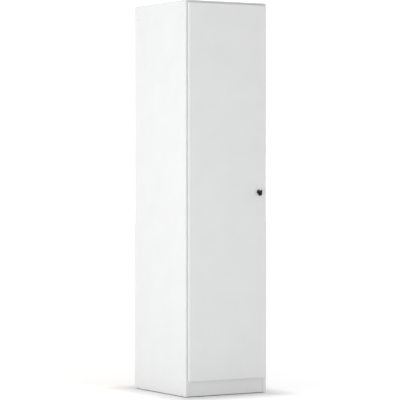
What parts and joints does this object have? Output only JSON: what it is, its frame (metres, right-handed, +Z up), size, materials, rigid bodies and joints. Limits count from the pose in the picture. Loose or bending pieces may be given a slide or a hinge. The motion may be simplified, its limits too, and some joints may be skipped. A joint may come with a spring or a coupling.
{
  "type": "locker cabinet",
  "caption": "Tall white one-door locker cabinet with a keyed cam lock, concealed hinges, hat shelf, clothes rail and lower shelf.",
  "frame": {"origin": "on the floor, under the middle of the whole object's box, key included", "axes": "+X to the right across the door, -Y out of the door towards the user, +Z up"},
  "size_m": [0.4726, 0.57, 1.97],
  "materials": {
    "melamine": "white melamine-faced chipboard with thin plastic edging, satin with a fine pearl texture",
    "hardboard": "thin fibreboard, lacquered white on the inside and bare brown outside",
    "cap_plastic": "pale grey-white moulded plastic",
    "clear_plastic": "translucent soft plastic buffer",
    "black_plastic": "glossy black moulded plastic",
    "grey_plastic": "grey nail-on glide",
    "nickel": "nickel-plated pressed steel, satin",
    "chrome": "polished chrome-plated tube",
    "zinc": "zinc-plated steel, dull"
  },
  "bodies": {
    "carcass": {"side_panel_left": "melamine", "side_panel_right": "melamine", "top_panel": "melamine", "bottom_panel": "melamine", "plinth_front": "melamine", "plinth_rear": "melamine", "back_rail": "melamine", "back_panel": "hardboard", "hat_shelf": "melamine", "lower_shelf": "melamine", "shelf_pin_front_left": "nickel", "shelf_pin_rear_left": "nickel", "shelf_pin_front_right": "nickel", "shelf_pin_rear_right": "nickel", "clothes_rail": "chrome", "rail_bracket_left": "zinc", "rail_bracket_right": "zinc", "wall_bracket": "zinc", "hinge_arm_1": "nickel", "hinge_arm_2": "nickel", "hinge_arm_3": "nickel", "hinge_arm_4": "nickel", "lock_strike": "zinc", "glide_front_left": "grey_plastic", "glide_front_right": "grey_plastic", "glide_rear_left": "grey_plastic", "glide_rear_right": "grey_plastic", "cap_left_bottom_low_front": "cap_plastic", "cap_left_bottom_low_rear": "cap_plastic", "cap_left_bottom_high_front": "cap_plastic", "cap_left_bottom_high_rear": "cap_plastic", "cap_left_top_high_front": "cap_plastic", "cap_left_top_high_rear": "cap_plastic", "cap_left_top_low_front": "cap_plastic", "cap_left_top_low_rear": "cap_plastic", "cap_right_bottom_low_front": "cap_plastic", "cap_right_bottom_low_rear": "cap_plastic", "cap_right_bottom_high_front": "cap_plastic", "cap_right_bottom_high_rear": "cap_plastic", "cap_right_top_high_front": "cap_plastic", "cap_right_top_high_rear": "cap_plastic", "cap_right_top_low_front": "cap_plastic", "cap_right_top_low_rear": "cap_plastic"},
    "door": {"door_panel": "melamine", "hinge_cup_1": "nickel", "hinge_cup_2": "nickel", "hinge_cup_3": "nickel", "hinge_cup_4": "nickel", "lock_escutcheon": "black_plastic", "lock_case": "zinc", "door_bumper_upper": "clear_plastic", "door_bumper_lower": "clear_plastic"},
    "hinge_links": {"hinge_link_1": "nickel", "hinge_link_2": "nickel", "hinge_link_3": "nickel", "hinge_link_4": "nickel"},
    "lock": {"lock_plug": "nickel", "lock_cam": "zinc"},
    "key": {"key": "black_plastic"}
  },
  "joints": [
    {"name": "door_swing", "type": "hinge", "parent": "carcass", "child": "door", "pos_m": [-0.225, -0.255, 1], "axis": [0, 0, -1], "range_deg": [0, 100]},
    {"name": "link_fold", "type": "hinge", "parent": "carcass", "child": "hinge_links", "pos_m": [-0.202, -0.234, 1], "axis": [0, 0, -1], "range_deg": [0, 106]},
    {"name": "lock_turn", "type": "hinge", "parent": "door", "child": "lock", "pos_m": [0.179, -0.239, 1.018], "axis": [0, -1, 0], "range_deg": [0, 90]},
    {"name": "key_pull", "type": "slide", "parent": "lock", "child": "key", "axis": [0, -1, 0], "range_m": [0, 0.012]}
  ],
  "couplings": [
    {"joint": "link_fold", "follows": "door_swing", "ratio": 1.05}
  ]
}
